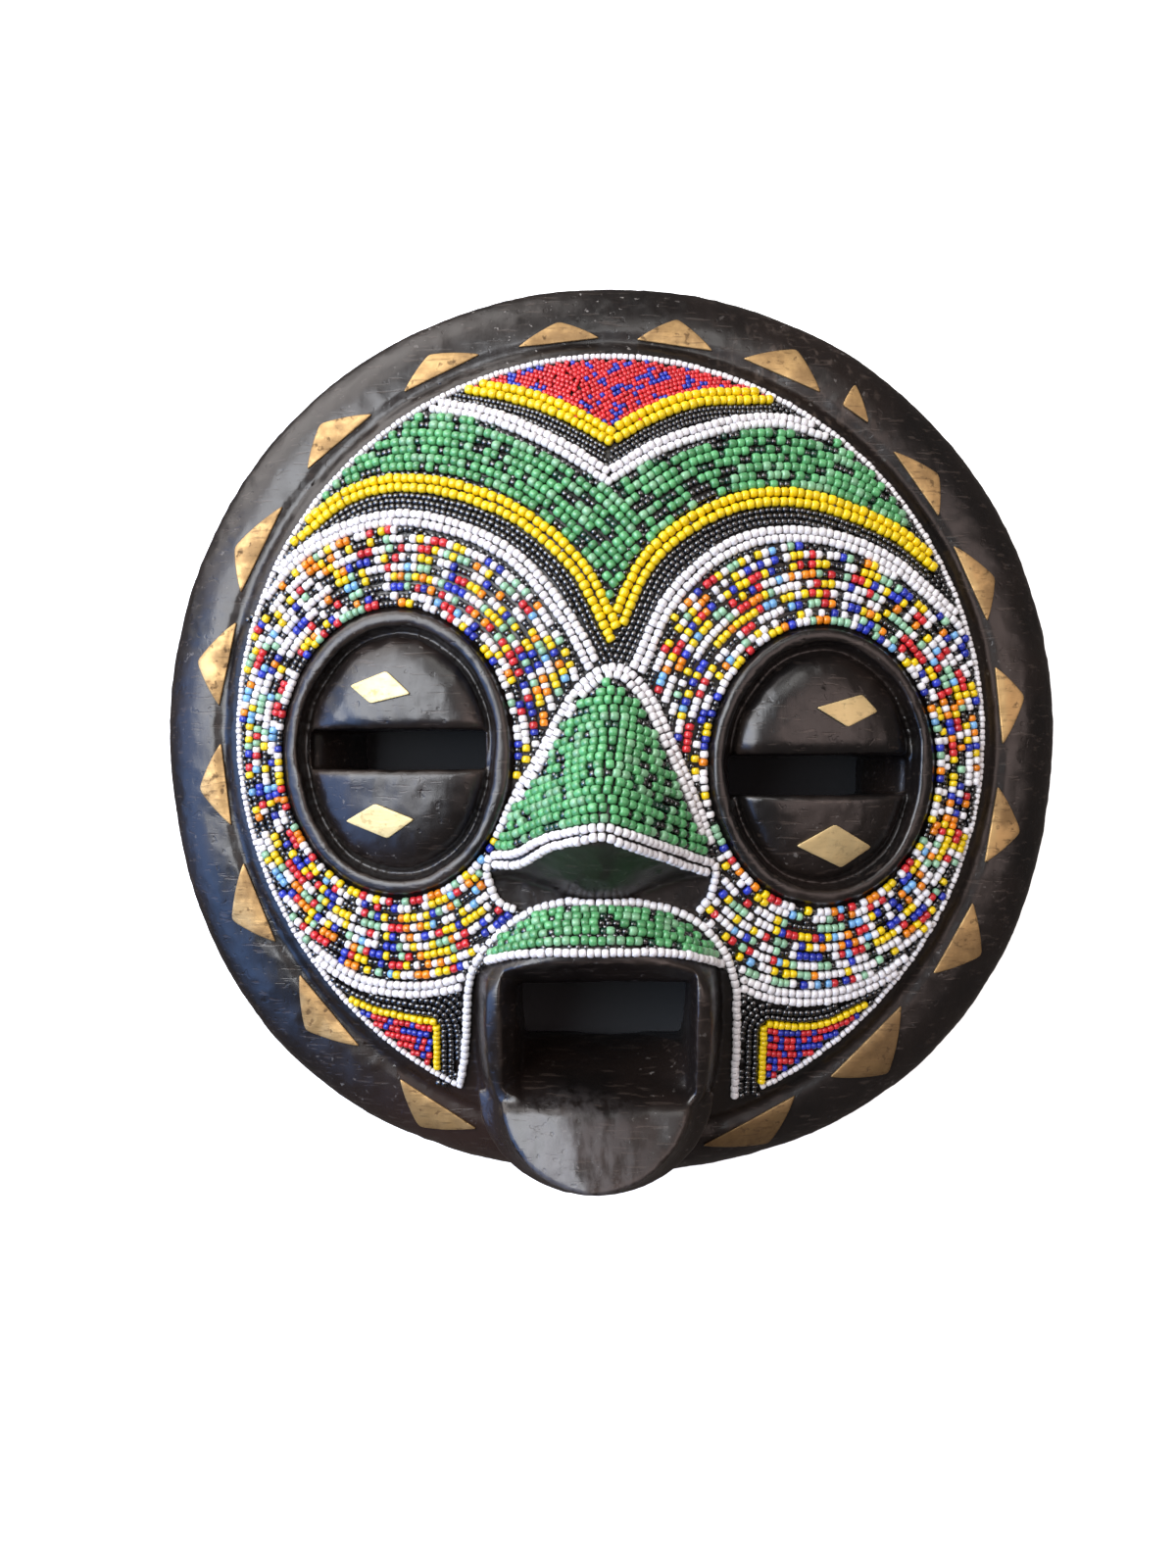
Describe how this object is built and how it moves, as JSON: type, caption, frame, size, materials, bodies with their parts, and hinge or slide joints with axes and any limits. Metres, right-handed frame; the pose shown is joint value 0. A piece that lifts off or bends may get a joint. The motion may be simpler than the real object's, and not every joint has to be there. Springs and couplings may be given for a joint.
{
  "type": "beaded round face mask",
  "caption": "Round carved wooden face mask with a hollow back, slit eyes, open mouth, patterned bands of glass beads and brass plates on the rim and eyelids.",
  "frame": {"origin": "middle of the round back rim, in the plane that the mask rests on when it lies on its back", "axes": "+Z out of the face, +Y towards the forehead, +X to the right of someone who looks at the face"},
  "size_m": [0.305, 0.3057, 0.0863],
  "materials": {
    "dark_wood": "dark stained and waxed, worn on the ridges",
    "brass": "thin sheet, tarnished and scratched",
    "white_beads": "opaque glass seed beads",
    "yellow_beads": "opaque glass seed beads",
    "green_beads": "opaque glass seed beads, some black",
    "black_beads": "opaque glass seed beads",
    "red_blue_beads": "opaque glass seed beads, red with some blue",
    "mixed_beads": "opaque glass seed beads of mixed colours"
  },
  "bodies": {
    "root": {"black_brow_band": "black_beads", "black_cheek_band_left": "black_beads", "black_cheek_band_right": "black_beads", "black_crown_band": "black_beads", "brass_diamond_left_lower": "brass", "brass_diamond_left_upper": "brass", "brass_diamond_right_lower": "brass", "brass_diamond_right_upper": "brass", "brass_rim_triangle_01": "brass", "brass_rim_triangle_02": "brass", "brass_rim_triangle_03": "brass", "brass_rim_triangle_04": "brass", "brass_rim_triangle_05": "brass", "brass_rim_triangle_06": "brass", "brass_rim_triangle_07": "brass", "brass_rim_triangle_08": "brass", "brass_rim_triangle_09": "brass", "brass_rim_triangle_10": "brass", "brass_rim_triangle_11": "brass", "brass_rim_triangle_12": "brass", "brass_rim_triangle_13": "brass", "brass_rim_triangle_14": "brass", "brass_rim_triangle_15": "brass", "brass_rim_triangle_16": "brass", "brass_rim_triangle_17": "brass", "brass_rim_triangle_18": "brass", "brass_rim_triangle_19": "brass", "green_brow_field": "green_beads", "green_lip_field": "green_beads", "green_nose_field": "green_beads", "mask_body": "dark_wood", "mixed_eye_field_left": "mixed_beads", "mixed_eye_field_right": "mixed_beads", "red_blue_cheek_corner_left": "red_blue_beads", "red_blue_cheek_corner_right": "red_blue_beads", "red_blue_crown_field": "red_blue_beads", "white_cheek_band_left": "white_beads", "white_cheek_band_right": "white_beads", "white_crown_chevron": "white_beads", "white_edge_strand": "white_beads", "white_eye_arc_left": "white_beads", "white_eye_arc_right": "white_beads", "white_lip_edge_strand": "white_beads", "white_mouth_outline": "white_beads", "white_nose_outline": "white_beads", "white_nose_tip_strands": "white_beads", "yellow_brow_chevron": "yellow_beads", "yellow_cheek_angle_left": "yellow_beads", "yellow_cheek_angle_right": "yellow_beads", "yellow_crown_chevron": "yellow_beads"}
  },
  "joints": []
}
